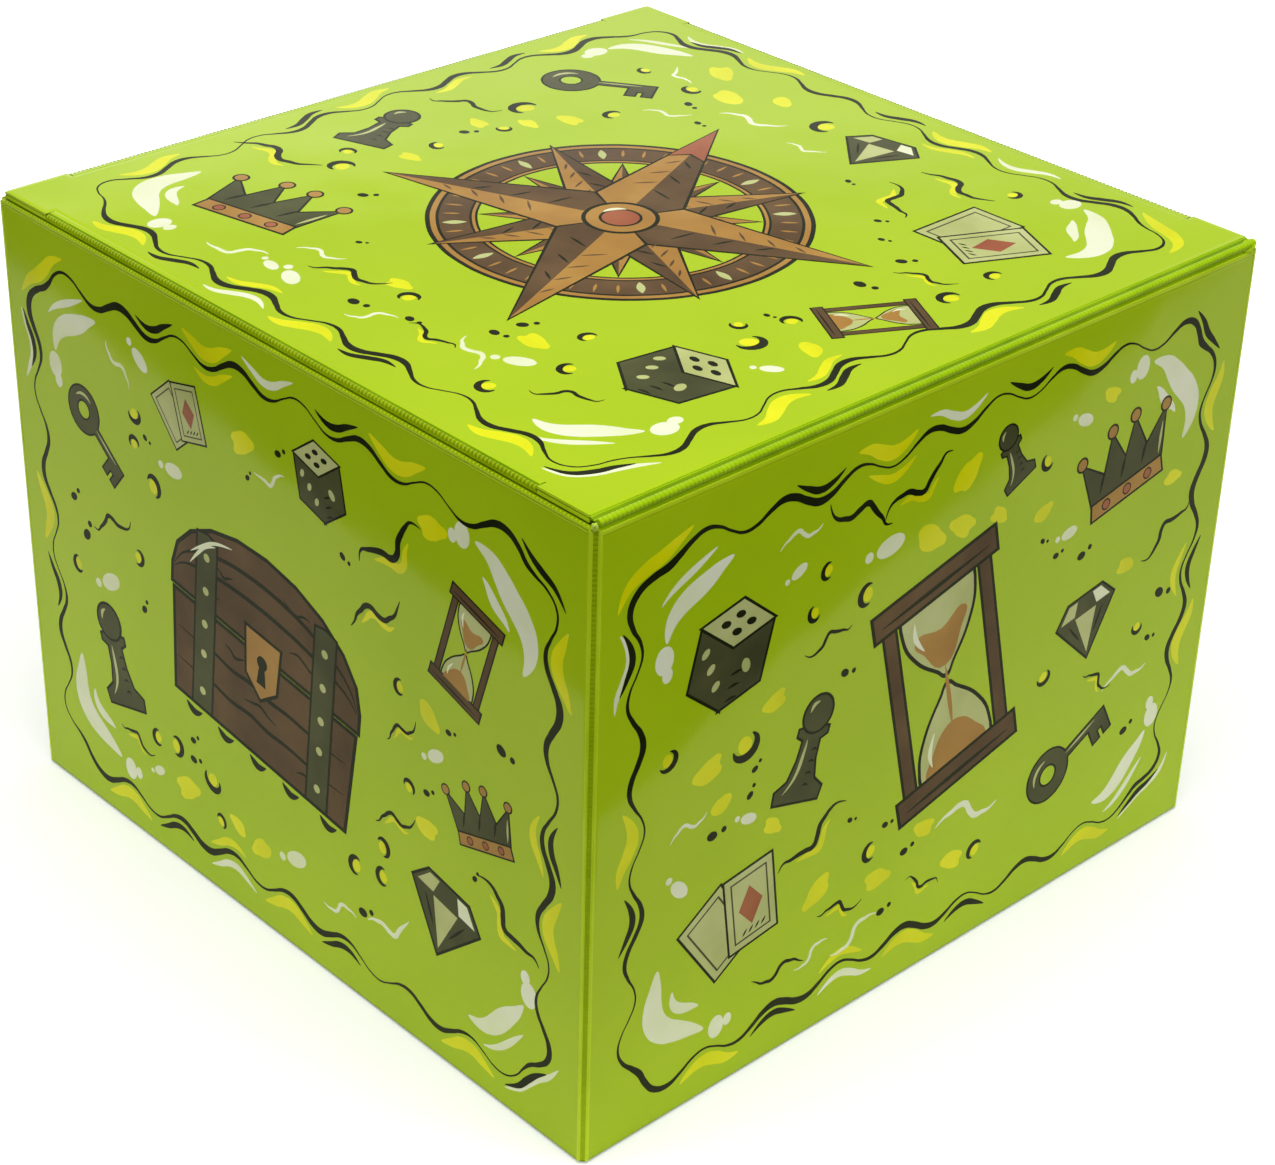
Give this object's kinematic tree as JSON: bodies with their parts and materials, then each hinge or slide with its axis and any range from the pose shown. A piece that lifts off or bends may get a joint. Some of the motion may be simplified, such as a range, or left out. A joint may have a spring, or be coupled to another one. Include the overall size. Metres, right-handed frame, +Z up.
{
  "type": "board game box",
  "caption": "Square vinyl-covered board box with a hinged lid, a tuck flap and side ears that fold in below the lid.",
  "frame": {"origin": "middle of the footprint, on the face that rests on the table", "axes": "+Z up, -Y out of the front wall, +X out of the hinge wall, with the lid shut"},
  "size_m": [0.26, 0.26, 0.2],
  "materials": {
    "printed_film": "glossy printed vinyl film",
    "liner_film": "satin plain vinyl film",
    "weld_strip": "glossy welded vinyl, finely ribbed",
    "panel_board": "plain greyboard"
  },
  "bodies": {
    "box": {"base_film": "printed_film", "base_board": "panel_board", "base_liner": "liner_film", "front_wall_film": "printed_film", "front_wall_board": "panel_board", "front_wall_liner": "liner_film", "right_wall_film": "printed_film", "right_wall_board": "panel_board", "right_wall_liner": "liner_film", "back_wall_film": "printed_film", "back_wall_board": "panel_board", "back_wall_liner": "liner_film", "left_wall_film": "printed_film", "left_wall_board": "panel_board", "left_wall_liner": "liner_film", "base_weld_rim": "weld_strip", "corner_weld_front_left": "weld_strip", "corner_weld_front_right": "weld_strip", "corner_weld_back_left": "weld_strip", "corner_weld_back_right": "weld_strip"},
    "lid": {"lid_film": "printed_film", "lid_board": "panel_board", "lid_liner": "liner_film", "lid_hinge_strip": "weld_strip", "tuck_flap_strip": "weld_strip", "front_ear_strip": "weld_strip", "back_ear_strip": "weld_strip"},
    "tuck_flap": {"tuck_flap_film": "printed_film", "tuck_flap_board": "panel_board", "tuck_flap_liner": "liner_film"},
    "front_ear": {"front_ear_film": "printed_film", "front_ear_board": "panel_board", "front_ear_liner": "liner_film"},
    "back_ear": {"back_ear_film": "printed_film", "back_ear_board": "panel_board", "back_ear_liner": "liner_film"}
  },
  "joints": [
    {"name": "lid_hinge", "type": "hinge", "parent": "box", "child": "lid", "pos_m": [0.129, 0, 0.199], "axis": [0, 1, 0], "range_deg": [0, 225], "deforming": ["lid_hinge_strip"]},
    {"name": "tuck_flap_fold", "type": "hinge", "parent": "lid", "child": "tuck_flap", "pos_m": [-0.1268, 0, 0.1957], "axis": [0, -1, 0], "range_deg": [0, 85]},
    {"name": "front_ear_fold", "type": "hinge", "parent": "lid", "child": "front_ear", "pos_m": [0, -0.1268, 0.1957], "axis": [1, 0, 0], "range_deg": [0, 85]},
    {"name": "back_ear_fold", "type": "hinge", "parent": "lid", "child": "back_ear", "pos_m": [0, 0.1268, 0.1957], "axis": [-1, 0, 0], "range_deg": [0, 85]}
  ]
}
